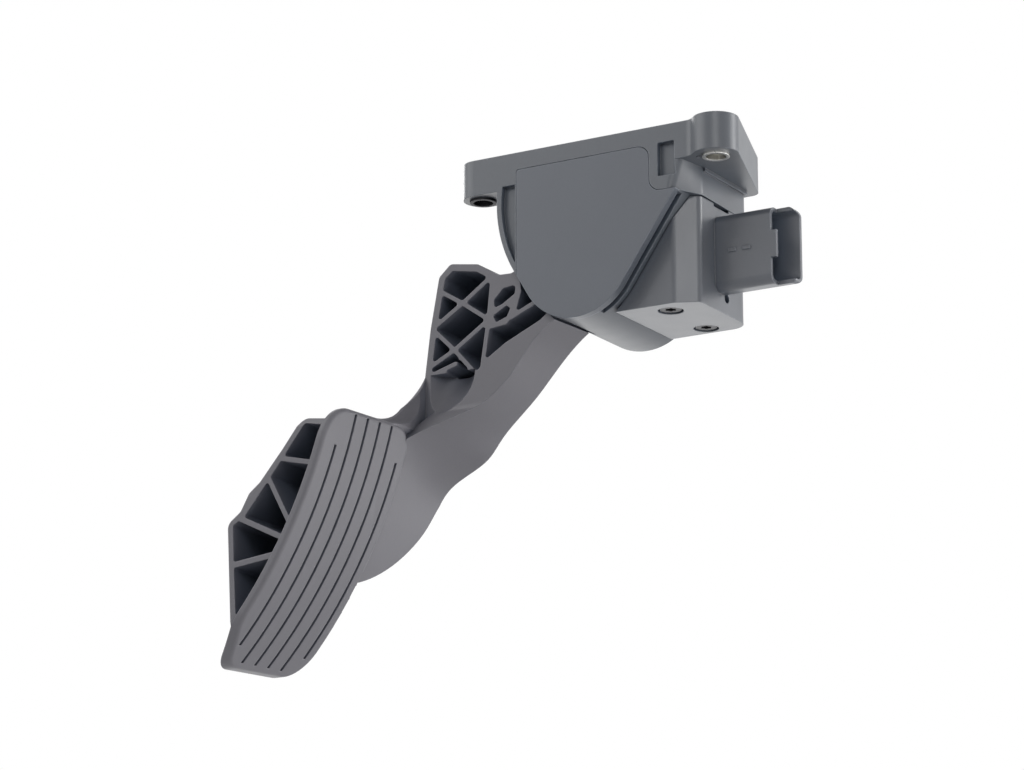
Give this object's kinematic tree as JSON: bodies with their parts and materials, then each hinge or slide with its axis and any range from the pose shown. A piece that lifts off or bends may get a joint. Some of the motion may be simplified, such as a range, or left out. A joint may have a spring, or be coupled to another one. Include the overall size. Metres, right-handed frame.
{
  "type": "accelerator pedal",
  "caption": "Hanging electronic accelerator pedal: moulded housing with mounting flange, ribbed arm with grooved foot pad, and a sensor housing with a connector socket.",
  "frame": {"origin": "on the mounting face, straight above the pivot axis and in the middle of the housing's width", "axes": "+Z out of the mounting face towards the car body, +Y along the pivot pin away from the side with the cover, +X towards the connector"},
  "size_m": [0.1861, 0.1218, 0.1817],
  "materials": {
    "housing_plastic": "fine grain",
    "cover_plastic": "fine grain",
    "sensor_plastic": "fine grain",
    "arm_plastic": "fine grain",
    "sleeve_steel": "zinc plated",
    "pin_steel": "ground",
    "screw_steel": "black zinc",
    "spring_steel": "drawn wire",
    "bush_polymer": "smooth",
    "lever_polymer": "smooth",
    "stop_rubber": "matte",
    "seal_rubber": "matte",
    "board_laminate": "solder mask",
    "chip_resin": "moulded",
    "magnet_ferrite": "sintered",
    "terminal_tin": "tinned"
  },
  "bodies": {
    "base": {"housing": "housing_plastic", "side_cover": "cover_plastic", "sensor_housing": "sensor_plastic", "pivot_pin": "pin_steel", "sensor_seal": "seal_rubber", "circuit_board": "board_laminate", "chip_carrier": "lever_polymer", "hall_chip_1": "chip_resin", "hall_chip_2": "chip_resin", "return_spring_outer": "spring_steel", "return_spring_inner": "spring_steel", "friction_lever": "lever_polymer", "lever_pin": "pin_steel", "rest_stop": "stop_rubber", "travel_stop": "stop_rubber", "mounting_sleeve_1": "sleeve_steel", "mounting_sleeve_2": "sleeve_steel", "mounting_sleeve_3": "sleeve_steel", "terminal_1": "terminal_tin", "terminal_2": "terminal_tin", "terminal_3": "terminal_tin", "terminal_4": "terminal_tin", "terminal_5": "terminal_tin", "terminal_6": "terminal_tin", "sensor_screw_1": "screw_steel", "sensor_screw_2": "screw_steel"},
    "pedal": {"pedal_arm": "arm_plastic", "bush_near": "bush_polymer", "bush_far": "bush_polymer", "magnet_carrier": "lever_polymer", "magnet": "magnet_ferrite"}
  },
  "joints": [
    {"name": "pedal_pivot", "type": "hinge", "parent": "base", "child": "pedal", "pos_m": [0, 0, -0.0414], "axis": [0, 1, 0], "range_deg": [0, 16], "stiffness_Nm_per_rad": 2.4, "springref_deg": -33.23, "deforming": ["return_spring_outer", "return_spring_inner"]}
  ]
}
